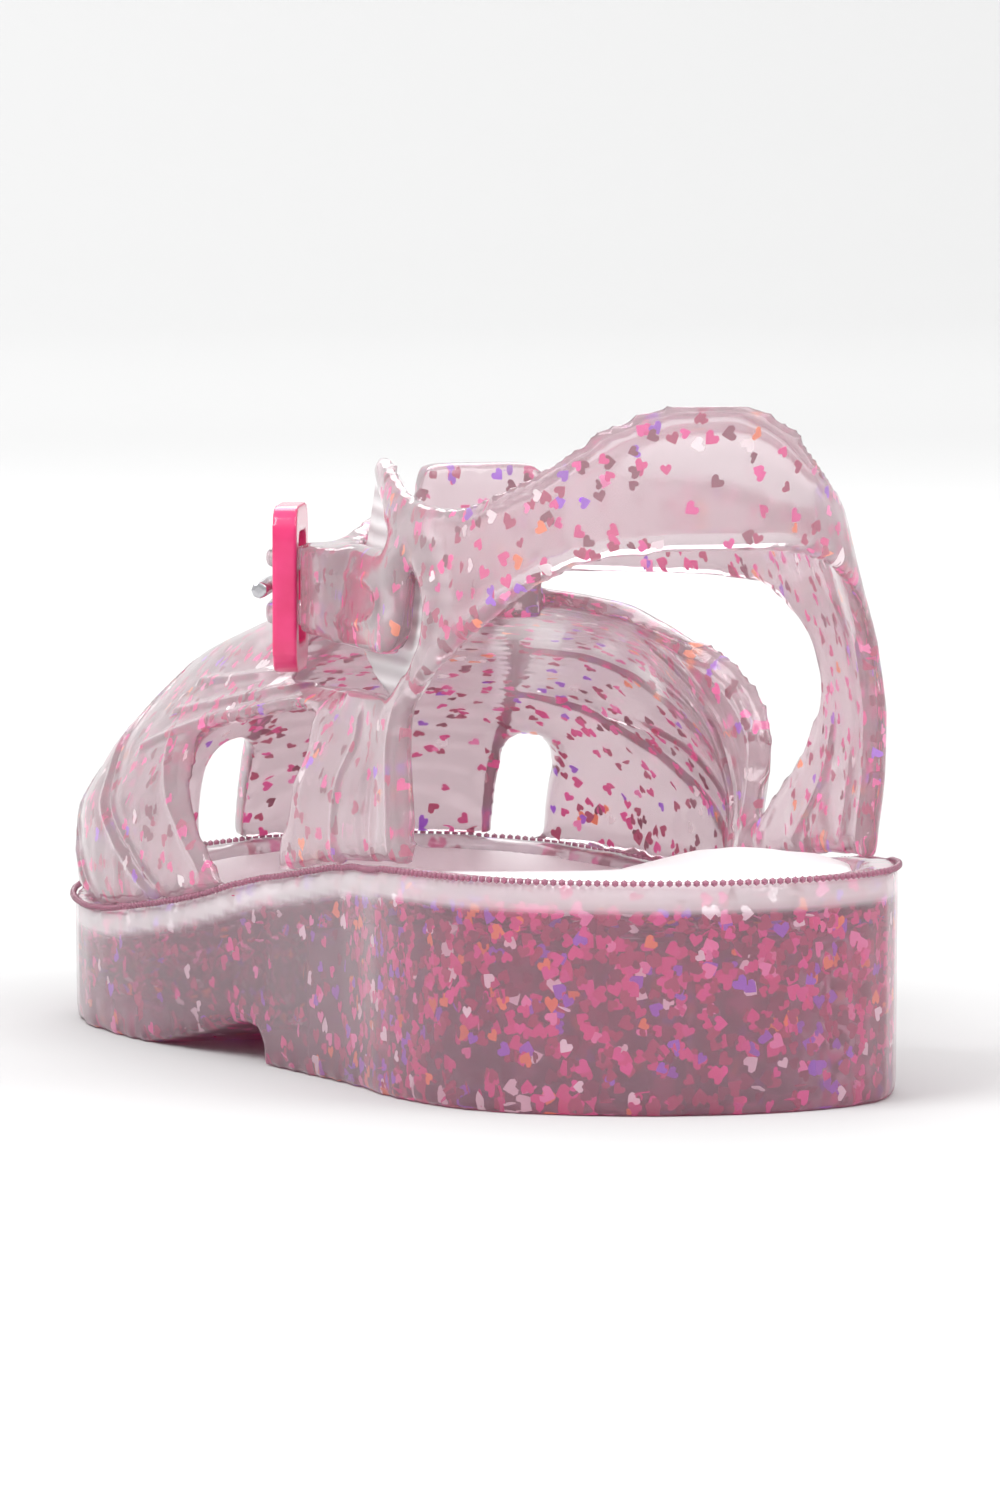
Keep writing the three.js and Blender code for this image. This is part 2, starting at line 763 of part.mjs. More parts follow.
// Everything above the rim line, from which the edges of the upper are cut
function aboveRim() {
  const points = [];
  const steps = 26;
  for (let i = 0; i <= steps; i += 1) {
    const y = (soleLength * i) / steps;
    points.push(new THREE.Vector2(y, rimTop(y) + fitGap));
  }
  points.unshift(new THREE.Vector2(-reach, heelRim + fitGap));
  points.push(new THREE.Vector2(soleLength + reach, points[points.length - 1].y));
  points.push(new THREE.Vector2(soleLength + reach, above), new THREE.Vector2(-reach, above));
  return sidePrism(points, -reach, reach);
}

// A strip of equal width along a line in the side view, as an outline
function stripOutline(rows, width, steps) {
  const curve = new THREE.SplineCurve(
    rows.map((row) => new THREE.Vector2(row.along * soleLength, row.height * bandHeight)),
  );
  const upper = [];
  const lower = [];
  for (let i = 0; i <= steps; i += 1) {
    const point = curve.getPoint(i / steps);
    const tangent = curve.getTangent(i / steps);
    upper.push(new THREE.Vector2(point.x - (tangent.y * width) / 2, point.y + (tangent.x * width) / 2));
    lower.unshift(new THREE.Vector2(point.x + (tangent.y * width) / 2, point.y - (tangent.x * width) / 2));
  }
  return upper.concat(lower);
}

// Strap outline with a round end at its start
function strapOutline(rows, steps) {
  const outline = stripOutline(rows, strapWidth, steps);
  const centre = outline[0].clone().add(outline[outline.length - 1]).multiplyScalar(0.5);
  const round = [];
  for (let i = 1; i < 8; i += 1) {
    const angle = (-Math.PI * i) / 8 - Math.PI / 2;
    const reachOut = new THREE.Vector2(Math.cos(angle), Math.sin(angle)).multiplyScalar(strapWidth / 2);
    round.push(centre.clone().add(reachOut));
  }
  return outline.concat(round);
}

const toeward = soleLength + reach;

// Outline of the outer side: heel leg, heel band with its wing, notch and the side of the vamp
function outerMask() {
  const back = sideEdge(OUTER_LEG_BACK, 22);
  const crown = sideEdge(BAND_TOP, 14);
  const wing = sideEdge(WING_TOP, 12);
  const notch = sideEdge(NOTCH, 18);
  const collar = sideEdge(OUTER_COLLAR, 10);
  const front = [new THREE.Vector2(toeward, collar[collar.length - 1].y), new THREE.Vector2(toeward, below)];
  const outline = [...back, ...crown, ...wing.slice(1), ...notch.slice(1), ...collar.slice(1), ...front];
  const first = new THREE.Vector2(back[0].x, below);
  return sidePrism([first, ...outline], -reach, barCentre);
}

// Outline of the inner side: heel leg, heel band and quarter, with the open bay before the leg
function innerMask() {
  const back = sideEdge(INNER_LEG_BACK, 22);
  const crown = sideEdge(BAND_TOP, 14);
  const bay = sideEdge(INNER_BAY, 38);
  const quarterTop = [
    new THREE.Vector2(INNER_BAY[0].along * soleLength, (STRAP_INNER[4].height + 0.05) * bandHeight),
  ];
  const front = [new THREE.Vector2(toeward, bay[bay.length - 1].y), new THREE.Vector2(toeward, below)];
  const outline = [...back, ...crown, ...quarterTop, ...bay, ...front];
  const first = new THREE.Vector2(back[0].x, below);
  return sidePrism([first, ...outline], barCentre, reach);
}

// The dome of the vamp ahead of the collar, which both side outlines leave whole
function domeMask() {
  const top = instepHeight + spineProud * 2;
  const points = [
    new THREE.Vector2(domeStart, below),
    new THREE.Vector2(toeward, below),
    new THREE.Vector2(toeward, top),
    new THREE.Vector2(domeStart, top),
  ];
  return sidePrism(points, -reach, reach);
}

// Ankle strap all round the front of the ankle, from its free outer end into the inner quarter
function ankleStrap() {
  const ring = ankleSolid(strapProud).subtract(ankleSolid(-wall));
  const outer = sidePrism(strapOutline(STRAP_OUTER, 22), -reach, barCentre);
  const inner = sidePrism(stripOutline(STRAP_INNER, strapWidth, 16), barCentre, reach);
  return ring.intersect(outer.add(inner));
}

// T-bar from the vamp up the front of the ankle, closed over the strap as a loop
function toeBar() {
  const ring = ankleSolid(strapProud + loopProud).subtract(ankleSolid(-wall));
  const low = instepHeight * barRoot;
  const high = STRAP_INNER[4].height * bandHeight + strapWidth / 2 + loopProud - strapProud;
  const left = barCentre - barWidth / 2;
  const right = barCentre + barWidth / 2;
  const shape = new THREE.Shape();
  shape.moveTo(left, low);
  shape.lineTo(right, low);
  shape.lineTo(right, high - barCorner);
  shape.quadraticCurveTo(right, high, right - barCorner, high);
  shape.lineTo(left + barCorner, high);
  shape.quadraticCurveTo(left, high, left, high - barCorner);
  return ring.intersect(rearPrism(shape.getPoints(4), ankleCentre, soleLength));
}

// Raised spine from the T-bar over the vamp, widening to the toe strap
function spine() {
  const sideLine = (side, column) => {
    const points = SPINE.map((row) => [side * row[column] * soleWidth, row.along * soleLength]);
    return new THREE.SplineCurve(points.map(([x, y]) => new THREE.Vector2(x, y))).getPoints(12);
  };
  const inner = sideLine(1, 'inner');
  const outer = sideLine(-1, 'outer').reverse();
  const toe = [
    new THREE.Vector2(inner[inner.length - 1].x, toeward),
    new THREE.Vector2(outer[0].x, toeward),
  ];
  const raised = vampSolid(spineProud).subtract(lastSolid(-wall));
  return raised.intersect(planPrism([...inner, ...toe, ...outer], below, above));
}

// Open gaps each side of the toe strap
function toeGaps() {
  const low = rimTop(soleLength) - seam;
  const high = rimTop(soleLength) + toeGapHeight;
  return [-1, 1].map((side) => {
    const near = (side * spineWidth) / 2;
    const far = near + side * toeGapWidth;
    const shape = new THREE.Shape();
    shape.moveTo(near, low);
    shape.lineTo(far, low);
    shape.lineTo(far, high - gapCorner);
    shape.quadraticCurveTo(far, high, near + (side * gapCorner) / 2, high);
    shape.quadraticCurveTo(near, high, near, high - gapCorner / 2);
    const points = shape.getPoints(5);
    return rearPrism(side > 0 ? points : points.reverse(), SPRING[0].along * soleLength, toeward);
  });
}

function grooves() {
  const skin = lastSolid(spineProud * 2).subtract(lastSolid(-grooveDepth));
  const bands = GROOVES.map((rows) => sidePrism(stripOutline(rows, grooveWidth, 12), -reach, reach));
  return skin.intersect(union(bands));
}

// The upper as moulded, but for the loops round the buckle
function upperBody() {
  const shell = lastSolid(0).subtract(lastSolid(-wall));
  const sides = shell.intersect(union([outerMask(), innerMask()]));
  const dome = vampSolid(0).subtract(lastSolid(-wall)).intersect(domeMask());
  const outerWindow = sidePrism(sideEdge(OUTER_WINDOW, 34), -reach, barCentre);
  const innerWindow = sidePrism(sideEdge(INNER_WINDOW, 22), barCentre, reach);
  let body = union([sides, dome]).subtract(grooves());
  body = body.subtract(outerWindow).subtract(innerWindow);
  body = union([body, spine(), toeBar(), ankleStrap()]);
  toeGaps().forEach((gap) => {
    body = body.subtract(gap);
  });
  return body.intersect(aboveRim());
}

const bareUpper = upperBody();

// Turn and place of the middle of the buckle on the skin of the ankle strap
function strapSkin() {
  const height = readTable(STRAP_OUTER, 'along', 'height', buckleAlong / soleLength) * bandHeight;
  const forward = Math.abs(buckleAlong - ankleCentre) / (ankleLength / 2);
  const { middle, outer } = ankleAt(height);
  const skin = middle - outer * (1 - forward ** shinPower) ** (1 / shinPower) - strapProud;
  const turn = new THREE.Matrix4().makeRotationZ(-THREE.MathUtils.degToRad(buckleTurn));
  return turn.setPosition(skin, buckleAlong, height);
}

// How far the back of the buckle stands off the strap: its lift, or more where the upper bulges under it
function standOff() {
  const toBuckle = strapSkin().invert();
  const footprint = roundedShape(buckleLength + 2 * fitGap, buckleHeight + 2 * fitGap, 1);
  const column = sidePrism(footprint, -reach, reach);
  const under = bareUpper.transform(toBuckle.elements).intersect(column);
  return Math.max(buckleLift, fitGap - under.boundingBox().min[0]);
}

const stand = standOff();

// Place of the buckle: on the outer face of the strap, its own +X towards the ankle
function bucklePlace() {
  return strapSkin().multiply(new THREE.Matrix4().makeTranslation(-stand, 0, 0));
}

// Two moulded loops of the strap round the front bar of the buckle, with a slot for the prong between them
function strapLoops() {
  const outerFace = -buckleThickness - fitGap - loopThickness;
  const front = buckleLength / 2 + fitGap + loopThickness;
  const back = buckleLength / 2 - buckleBar - fitGap - loopThickness;
  const height = (loopHeight - prongSlot) / 2;
  const loops = [-1, 1].map((side) => {
    const root = stand + wall / 2;
    const shape = roundedShape(front - back, root - outerFace, loopThickness);
    const moved = shape.map((point) => new THREE.Vector2(
      point.y + (root + outerFace) / 2,
      point.x + (front + back) / 2,
    ));
    const tunnel = roundedShape(buckleBar + 2 * fitGap, buckleThickness + 2 * fitGap, fitGap);
    const bar = tunnel.map((point) => new THREE.Vector2(
      point.y - buckleThickness / 2,
      point.x + (buckleLength - buckleBar) / 2,
    ));
    const low = (side * (prongSlot + height)) / 2 - height / 2;
    const hole = planPrism(bar.reverse(), low - seam, low + height + seam);
    return planPrism(moved.reverse(), low, low + height).subtract(hole);
  });
  const placed = union([...loops, strapSwell(back + seam)]).transform(bucklePlace().elements);
  return placed.subtract(ankleSolid(-wall));
}

// The strap rises behind the buckle, up to the back of its frame, on a ramp from the heel side
function strapSwell(front) {
  const rear = -buckleLength / 2;
  const root = stand + wall;
  const shape = [
    new THREE.Vector2(fitGap, rear),
    new THREE.Vector2(root, rear - swellRamp),
    new THREE.Vector2(root, front),
    new THREE.Vector2(fitGap, front),
  ];
  return planPrism(shape, -swellHeight / 2, swellHeight / 2);
}

// Closure pad: a thin ribbed plate inside the outer quarter, behind its notch
function makePad() {
  const face = -wall - fitGap;
  const plate = ankleSolid(face).subtract(ankleSolid(face - padThickness));
  return plate.intersect(sidePrism(sideEdge(PAD, 40), -reach, barCentre));
}

// Rounded rectangle in the side view about the origin
function roundedShape(long, high, corner) {
  const x = long / 2;
  const y = high / 2;
  const shape = new THREE.Shape();
  shape.moveTo(-x + corner, -y);
  shape.lineTo(x - corner, -y);
  shape.quadraticCurveTo(x, -y, x, -y + corner);
  shape.lineTo(x, y - corner);
  shape.quadraticCurveTo(x, y, x - corner, y);
  shape.lineTo(-x + corner, y);
  shape.quadraticCurveTo(-x, y, -x, y - corner);
  shape.lineTo(-x, -y + corner);
  shape.quadraticCurveTo(-x, -y, -x + corner, -y);
  return shape.getPoints(5);
}

// Buckle frame: a rounded flat ring that lies on the strap
function makeBuckle() {
  const opening = roundedShape(buckleLength - 2 * buckleBar, buckleHeight - 2 * buckleBar, holeCorner);
  return sidePrism(roundedShape(buckleLength, buckleHeight, frameCorner), -buckleThickness, 0)
    .subtract(sidePrism(opening, -reach, reach));
}

// Prong: a bent pin hooked over the front bar, its tip lying on the rear bar
function makeProng() {
  const half = buckleLength / 2;
  const x = -buckleThickness - prongGap - prongWidth / 2;
  const hook = half + prongWidth * 0.7;
  const path = new THREE.CatmullRomCurve3([
    new THREE.Vector3(x, -half + fitGap, 0),
    new THREE.Vector3(x, 0, 0),
    new THREE.Vector3(x, half - holeCorner, 0),
    new THREE.Vector3(x + prongGap, half + prongWidth / 2, 0),
    new THREE.Vector3(x + buckleThickness, hook, 0),
  ]);
  const radius = prongWidth / 2;
  const round = new THREE.Shape(new THREE.EllipseCurve(0, 0, radius, radius).getPoints(8).slice(0, 8));
  return solid(new THREE.ExtrudeGeometry(round, { steps: 12, bevelEnabled: false, extrudePath: path }));
}

const part = new THREE.Group();
const shoe = new THREE.Group();
part.add(shoe);
shoe.add(meshOf('outsole', makeOutsole(), 0xa57d8c, 0.25, 0));
shoe.add(meshOf('insole', makeInsole(), 0xf2eeee, 0.6, 0));
shoe.add(meshOf('upper', bareUpper.add(strapLoops()), 0xd9c2cc, 0.2, 0));
shoe.add(meshOf('closure_pad', makePad(), 0xeeeaec, 0.5, 0));

// The buckle lies on the outer face of the strap, turned with it
const buckle = new THREE.Group();
buckle.applyMatrix4(bucklePlace());
buckle.add(meshOf('buckle_frame', makeBuckle(), 0xe03c78, 0.3, 0));
buckle.add(meshOf('buckle_prong', makeProng(), 0xb8b8bc, 0.25, 1));
shoe.add(buckle);

// The whole part stands on its origin, at the middle of its footprint
shoe.updateMatrixWorld(true);
const box = new THREE.Box3().setFromObject(shoe);
shoe.position.set(-(box.min.x + box.max.x) / 2, -(box.min.y + box.max.y) / 2, -box.min.z);

export default part;
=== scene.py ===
# Clear glitter jelly sandal for a toddler's left foot: looks, light and camera around the fixed frame.
import bmesh
import bpy
import math
import numpy as np
from mathutils import Matrix, Vector
from mathutils.bvhtree import BVHTree
from mathutils.kdtree import KDTree


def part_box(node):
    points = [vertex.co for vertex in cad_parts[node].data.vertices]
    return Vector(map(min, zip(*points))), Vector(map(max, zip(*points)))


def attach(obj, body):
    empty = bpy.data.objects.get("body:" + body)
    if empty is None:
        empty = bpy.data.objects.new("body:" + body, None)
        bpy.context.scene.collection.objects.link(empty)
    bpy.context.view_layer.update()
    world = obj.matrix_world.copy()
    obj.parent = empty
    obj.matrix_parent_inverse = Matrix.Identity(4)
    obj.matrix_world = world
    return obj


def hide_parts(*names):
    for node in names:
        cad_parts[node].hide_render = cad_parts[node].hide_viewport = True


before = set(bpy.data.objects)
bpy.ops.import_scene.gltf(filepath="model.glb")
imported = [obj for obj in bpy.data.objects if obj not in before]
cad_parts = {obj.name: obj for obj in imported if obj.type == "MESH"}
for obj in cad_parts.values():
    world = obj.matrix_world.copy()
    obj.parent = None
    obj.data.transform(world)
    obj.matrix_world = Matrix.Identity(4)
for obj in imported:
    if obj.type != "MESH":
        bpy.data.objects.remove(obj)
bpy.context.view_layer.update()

# Studio: a white sweep under soft boxes, as for a shop picture. The camera stands behind and to the
# outer side of the shoe, a little above the heel band, and looks along the shoe from heel to toe.
mm = 0.001
scene = bpy.context.scene
sole_low, sole_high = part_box("outsole")
sole_length = sole_high.y - sole_low.y
heel_axis = 3.4 * mm
heel_point = Vector((heel_axis, sole_low.y, 0.0))


def linear(hex_colour):
    """An sRGB hex colour as linear red, green, blue and alpha."""
    parts = [int(hex_colour[i:i + 2], 16) / 255 for i in (1, 3, 5)]
    return [c / 12.92 if c <= 0.04045 else ((c + 0.055) / 1.055) ** 2.4 for c in parts] + [1.0]


def add_node(tree, kind, settings=None, links=None):
    """One shader node with its own settings, its socket values and its links from other nodes' sockets."""
    made = tree.nodes.new(kind)
    for key, value in (settings or {}).items():
        if hasattr(made, key):
            setattr(made, key, value)
        else:
            made.inputs[key].default_value = value
    for key, source in (links or {}).items():
        tree.links.new(source, made.inputs[key])
    return made


def new_material(name):
    """An empty node material and its tree."""
    material = bpy.data.materials.new(name)
    material.use_nodes = True
    material.node_tree.nodes.clear()
    return material, material.node_tree


def object_noise(tree, scale, detail):
    """A noise that lies fixed in the object, its scale counted for each metre."""
    place = add_node(tree, "ShaderNodeTexCoord")
    return add_node(tree, "ShaderNodeTexNoise", {"Scale": scale, "Detail": detail},
                    {"Vector": place.outputs["Object"]})


def two_tone(tree, factor, first, second):
    """A ramp from one hex colour to another."""
    ramp = add_node(tree, "ShaderNodeValToRGB", links={"Fac": factor})
    ramp.color_ramp.elements[0].color = linear(first)
    ramp.color_ramp.elements[1].color = linear(second)
    return ramp


def put(bm, name, material):
    """The finished bmesh as a smooth object of the scene, with its material."""
    mesh = bpy.data.meshes.new(name)
    bm.to_mesh(mesh)
    bm.free()
    mesh.polygons.foreach_set("use_smooth", [True] * len(mesh.polygons))
    piece = bpy.data.objects.new(name, mesh)
    scene.collection.objects.link(piece)
    mesh.materials.append(material)
    return piece


sweep_material, tree = new_material("white_paper_sweep")
paper = add_node(tree, "ShaderNodeBsdfPrincipled", {"Base Color": linear("#cfcfcf"), "Roughness": 1.0})
add_node(tree, "ShaderNodeOutputMaterial", links={"Surface": paper.outputs[0]})
sweep_bend = 1.2
sweep_flat = 2.0
sweep_front = -4.0
sweep_top = 5.0
sweep_half_width = 5.0
bend_steps = 12
sweep_profile = [(sweep_front, 0.0), (sweep_flat, 0.0)]
for i in range(1, bend_steps + 1):
    angle = math.pi / 2 * i / bend_steps
    sweep_profile.append((sweep_flat + sweep_bend * math.sin(angle), sweep_bend * (1 - math.cos(angle))))
sweep_profile.append((sweep_flat + sweep_bend, sweep_top))
paper_sheet = bmesh.new()
sides = (-sweep_half_width, sweep_half_width)
rows = [[paper_sheet.verts.new((x, y, z)) for y, z in sweep_profile] for x in sides]
for left_pair, right_pair in zip(zip(rows[0], rows[0][1:]), zip(rows[1], rows[1][1:])):
    paper_sheet.faces.new((left_pair[0], right_pair[0], right_pair[1], left_pair[1]))
sweep = put(paper_sheet, "sweep", sweep_material)

world = bpy.data.worlds.new("white_studio")
scene.world = world
world.use_nodes = True
world.node_tree.nodes.clear()
tree = world.node_tree
way = add_node(tree, "ShaderNodeTexCoord")
parts = add_node(tree, "ShaderNodeSeparateXYZ", links={"Vector": way.outputs["Generated"]})
ceiling = add_node(tree, "ShaderNodeMapRange", {
    "From Min": -0.1,
    "From Max": 0.75,
    "To Min": 0.4,
    "To Max": 1.12,
}, {"Value": parts.outputs["Z"]})
air = add_node(tree, "ShaderNodeBackground", {"Color": linear("#ffffff")}, {"Strength": ceiling.outputs[0]})
add_node(tree, "ShaderNodeOutputWorld", links={"Surface": air.outputs[0]})

shoe_middle = (0, 0, 0.02)
paper_middle = (0, 3.2, 0.6)
SOFT_BOXES = [
    {"name": "key", "place": (-0.55, -0.35, 0.75), "aim": shoe_middle, "size": 0.5, "power": 5.5},
    {"name": "fill", "place": (0.6, -0.5, 0.6), "aim": shoe_middle, "size": 0.6, "power": 3.0},
    {"name": "rear", "place": (0.1, 0.8, 0.7), "aim": shoe_middle, "size": 0.7, "power": 4.5},
    {"name": "wash", "place": (0.0, 1.3, 1.7), "aim": paper_middle, "size": 1.4, "power": 28.0},
]
for row in SOFT_BOXES:
    light = bpy.data.lights.new(row["name"], "AREA")
    light.size = row["size"]
    light.energy = row["power"]
    holder = bpy.data.objects.new(row["name"], light)
    holder.location = row["place"]
    aim = Vector(row["aim"]) - holder.location
    holder.rotation_euler = aim.to_track_quat("-Z", "Y").to_euler()
    scene.collection.objects.link(holder)

camera_turn = math.radians(15.294)
camera_height = 115.15 * mm
back_distance = 1179.36 * mm
side_shift = 34.02 * mm
forward = Vector((math.sin(camera_turn), math.cos(camera_turn), 0.0))
right = Vector((math.cos(camera_turn), -math.sin(camera_turn), 0.0))
camera_place = heel_point - forward * back_distance + right * side_shift
camera_place.z = camera_height
target = Vector((-8.9 * mm, -46.3 * mm, 32.5 * mm))
camera_data = bpy.data.cameras.new("camera")
camera_data.sensor_fit = "HORIZONTAL"
camera_data.sensor_width = 36
camera_data.lens = 455
camera_data.clip_start = 0.05
camera_data.clip_end = 30
camera = bpy.data.objects.new("camera", camera_data)
camera.location = camera_place
camera.rotation_euler = (target - camera_place).to_track_quat("-Z", "Y").to_euler()
scene.collection.objects.link(camera)
scene.camera = camera
scene.view_settings.view_transform = "Standard"

# Outsole: one thick block of mauve-pink soft PVC, injection moulded, with a hollow pegged heel and a
# studded forefoot. The mould leaves it glossy, every edge is a little round, and the thick walls look
# deeper in colour than the thin ones. A strip runs all round under the rim, painted whiter and milkier than
# the
# rest: painted light, standing for light that passes through the sole's glitter-free band.
smoothing = 0.5
skin_step = 0.05 * mm
thickest_wall = 3.2 * mm
merge_distance = 0.001 * mm
# The strip lets less light through, so its painted white shows more: part of the painted light.
strip_transmission = 0.5


def worked(bm, modifiers, chosen=None):
    """The bmesh after some modifiers, the chosen points being the only ones that a skin group moves."""
    carrier = put(bm, "cast", sweep_material)
    if chosen is not None:
        carrier.vertex_groups.new(name="skin").add(chosen, 1.0, "REPLACE")
    for kind, settings in modifiers:
        modifier = carrier.modifiers.new(kind.lower(), kind)
        for key, value in settings.items():
            setattr(modifier, key, value)
    evaluated = carrier.evaluated_get(bpy.context.evaluated_depsgraph_get())
    shaped = bmesh.new()
    shaped.from_mesh(evaluated.to_mesh())
    evaluated.to_mesh_clear()
    cast_mesh = carrier.data
    bpy.data.objects.remove(carrier)
    bpy.data.meshes.remove(cast_mesh)
    shaped.normal_update()
    return shaped


def skin_points(bm):
    """Points on the two faces of a wall, whose far face lies within the thickest wall behind them."""
    walls = BVHTree.FromBMesh(bm)
    chosen = []
    for vertex in bm.verts:
        behind = walls.ray_cast(vertex.co - vertex.normal * skin_step, -vertex.normal, thickest_wall)[0]
        if behind is not None:
            chosen.append(vertex.index)
    return chosen


def smooth_step(rounds):
    """Some rounds of smoothing, as a modifier's kind and settings."""
    return "SMOOTH", {"iterations": rounds, "factor": smoothing}


def moulded(node, voxel, rounds, skin_rounds=0, last_rounds=0):
    """A CAD solid as an even mesh with soft moulded edges and smooth walls, as a bmesh."""
    start = bmesh.new()
    start.from_mesh(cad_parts[node].data)
    bmesh.ops.remove_doubles(start, verts=start.verts, dist=merge_distance)
    shaped = worked(start, [("REMESH", {"mode": "VOXEL", "voxel_size": voxel}), smooth_step(rounds)])
    if skin_rounds:
        kind, settings = smooth_step(skin_rounds)
        shaped = worked(shaped, [(kind, {**settings, "vertex_group": "skin"})], skin_points(shaped))
        shaped = worked(shaped, [smooth_step(last_rounds)])
    return shaped


def jelly(name, tint, depth_tint, density, rough, milk, strip=None):
    """Soft clear PVC from a polished mould: glossy, a little milky, with colour in its depth, and perhaps a
    whiter, milkier strip where a mesh attribute asks for it, painted light for light passing through it."""
    material, tree = new_material(name)
    skin = object_noise(tree, 190.0, 2.0)
    bump = add_node(tree, "ShaderNodeBump", {"Strength": 0.05, "Distance": 0.3 * mm},
                    {"Height": skin.outputs[0]})
    gloss = add_node(tree, "ShaderNodeMapRange", {"To Min": rough * 0.75, "To Max": rough * 1.3},
                     {"Value": skin.outputs[0]})
    surface = add_node(tree, "ShaderNodeBsdfPrincipled", {
        "Base Color": linear(tint),
        "IOR": 1.46,
        "Transmission Weight": 1.0 - milk,
        "Specular IOR Level": 0.5,
    }, {"Roughness": gloss.outputs[0], "Normal": bump.outputs[0]})
    # The strip's whiter colour and lower transmission are painted light, not a colour of the PVC.
    if strip is not None:
        share = add_node(tree, "ShaderNodeAttribute", {"attribute_name": "clear"})
        shade = two_tone(tree, share.outputs["Fac"], tint, strip)
        through = add_node(tree, "ShaderNodeMapRange", {
            "To Min": 1.0 - milk,
            "To Max": strip_transmission,
        }, {"Value": share.outputs["Fac"]})
        tree.links.new(shade.outputs[0], surface.inputs["Base Color"])
        tree.links.new(through.outputs[0], surface.inputs["Transmission Weight"])
    inside = add_node(tree, "ShaderNodeVolumeAbsorption", {"Color": linear(depth_tint), "Density": density})
    add_node(tree, "ShaderNodeOutputMaterial", links={
        "Surface": surface.outputs[0],
        "Volume": inside.outputs[0],
    })
    return material


# f6eef1 is the painted-light white of the strip under the rim.
sole_jelly = jelly("moulded_mauve_pvc", tint="#c8a2b2", depth_tint="#b84a80", density=40.0, rough=0.1,
                   milk=0.24, strip="#f6eef1")
sole_shape = moulded("outsole", voxel=0.66 * mm, rounds=8)
sole_skin = BVHTree.FromBMesh(sole_shape)
outsole = put(sole_shape, "outsole_jelly", sole_jelly)
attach(outsole, "root")
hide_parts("outsole")

rim_rays = 360
ray_reach = 0.2
ray_height = 9 * mm
ray_top = 0.05
ray_middle = Vector((heel_axis - 3 * mm, 0, ray_height))
length_to_width = 1.9
lip = 1.2 * mm
bead_overhang = 0.35 * mm


def rim_points():
    """Points of the rim's outer edge, all round, found on the skin of the sole by rays."""
    found = []
    for i in range(rim_rays):
        angle = 2 * math.pi * i / rim_rays
        way = Vector((math.sin(angle), length_to_width * math.cos(angle), 0)).normalized()
        side = sole_skin.ray_cast(ray_middle + way * ray_reach, -way)[0]
        inward = side - way * lip
        top = sole_skin.ray_cast(Vector((inward.x, inward.y, ray_top)), Vector((0, 0, -1)))[0]
        found.append(Vector((side.x, side.y, top.z)) + way * bead_overhang)
    return found


rim = rim_points()
rim_tree = KDTree(len(rim))
for i, edge_point in enumerate(rim):
    rim_tree.insert((edge_point.x, edge_point.y, 0), i)
rim_tree.balance()


def under_rim(place):
    """How far a place lies below the top of the rim beside it."""
    return rim[rim_tree.find((place.x, place.y, 0))[1]].z - place.z


strip_depth = 2.4 * mm
strip_fade = 0.7 * mm
# The 'clear' share is 1 down to strip_depth under the rim and fades out below; it sets where the strip's
# painted-light white goes.
shares = []
for vertex in outsole.data.vertices:
    past = (under_rim(vertex.co) - strip_depth) / strip_fade
    shares.append(min(max(1 - past, 0.0), 1.0))
outsole.data.attributes.new("clear", "FLOAT", "POINT").data.foreach_set("value", shares)

# Insole: white moulded foam dropped into the pan of the sole, with a raised inner arch. It is satin, and
# a fine open-cell grain and faint wear run all over it.
insole_foam, tree = new_material("moulded_white_foam")
cells = object_noise(tree, 1400.0, 2.0)
soil = object_noise(tree, 28.0, 2.0)
shade = two_tone(tree, soil.outputs[0], "#f3f0f1", "#fbfafa")
grain = add_node(tree, "ShaderNodeBump", {"Strength": 0.25, "Distance": 0.15 * mm},
                 {"Height": cells.outputs[0]})
foam = add_node(tree, "ShaderNodeBsdfPrincipled", {"Roughness": 0.55, "Specular IOR Level": 0.4},
                {"Base Color": shade.outputs[0], "Normal": grain.outputs[0]})
add_node(tree, "ShaderNodeOutputMaterial", links={"Surface": foam.outputs[0]})
insole = put(moulded("insole", voxel=0.8 * mm, rounds=8), "insole_foam", insole_foam)
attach(insole, "root")
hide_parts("insole")

